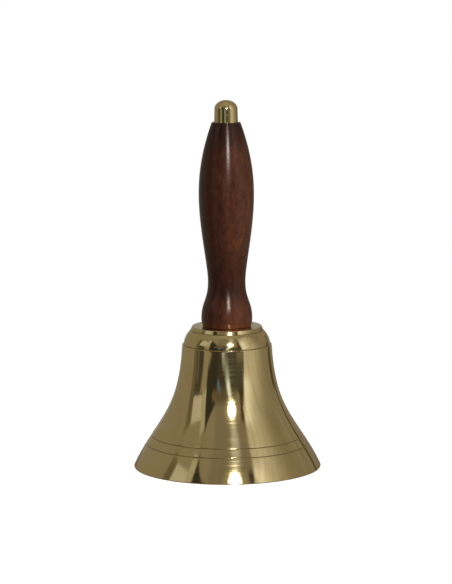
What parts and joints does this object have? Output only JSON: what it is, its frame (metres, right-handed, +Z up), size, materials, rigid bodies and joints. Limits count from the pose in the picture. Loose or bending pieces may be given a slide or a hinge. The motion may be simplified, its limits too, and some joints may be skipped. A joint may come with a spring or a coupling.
{
  "type": "sanctus bell",
  "caption": "Hand-held altar bell: flared turned brass casting on a lacquered hardwood grip with a domed cap nut, rung by a ball clapper that swings on a pin under the crown.",
  "frame": {"origin": "centre of the mouth, in the plane of the lip that the bell stands on", "axes": "+Z up along the bell's own axis from the mouth to the cap nut; the clapper's pin lies along Y, so it swings in the XZ plane"},
  "size_m": [0.102, 0.102, 0.2007],
  "materials": {
    "polished_brass": "turned and polished, lacquered",
    "cast_brass": "as turned, dull",
    "lacquered_hardwood": "dark red-brown, glossy lacquer",
    "zinc_steel": "zinc plated",
    "spring_steel": "oiled spring steel"
  },
  "bodies": {
    "root": {"bell_casting": "polished_brass", "wood_grip": "lacquered_hardwood", "cap_nut": "polished_brass", "tie_rod": "zinc_steel", "crown_washer": "zinc_steel", "lock_washer": "spring_steel", "crown_nut": "zinc_steel", "clapper_hanger": "cast_brass", "pivot_pin": "zinc_steel", "pin_washer": "zinc_steel", "pin_clip": "spring_steel"},
    "clapper": {"clapper_stem": "zinc_steel", "clapper_ball": "cast_brass", "clapper_end_nut": "cast_brass"}
  },
  "joints": [
    {"name": "clapper_swing", "type": "hinge", "parent": "root", "child": "clapper", "pos_m": [0, 0, 0.0552], "axis": [0, 1, 0], "range_deg": [-37.5, 37.5]}
  ]
}
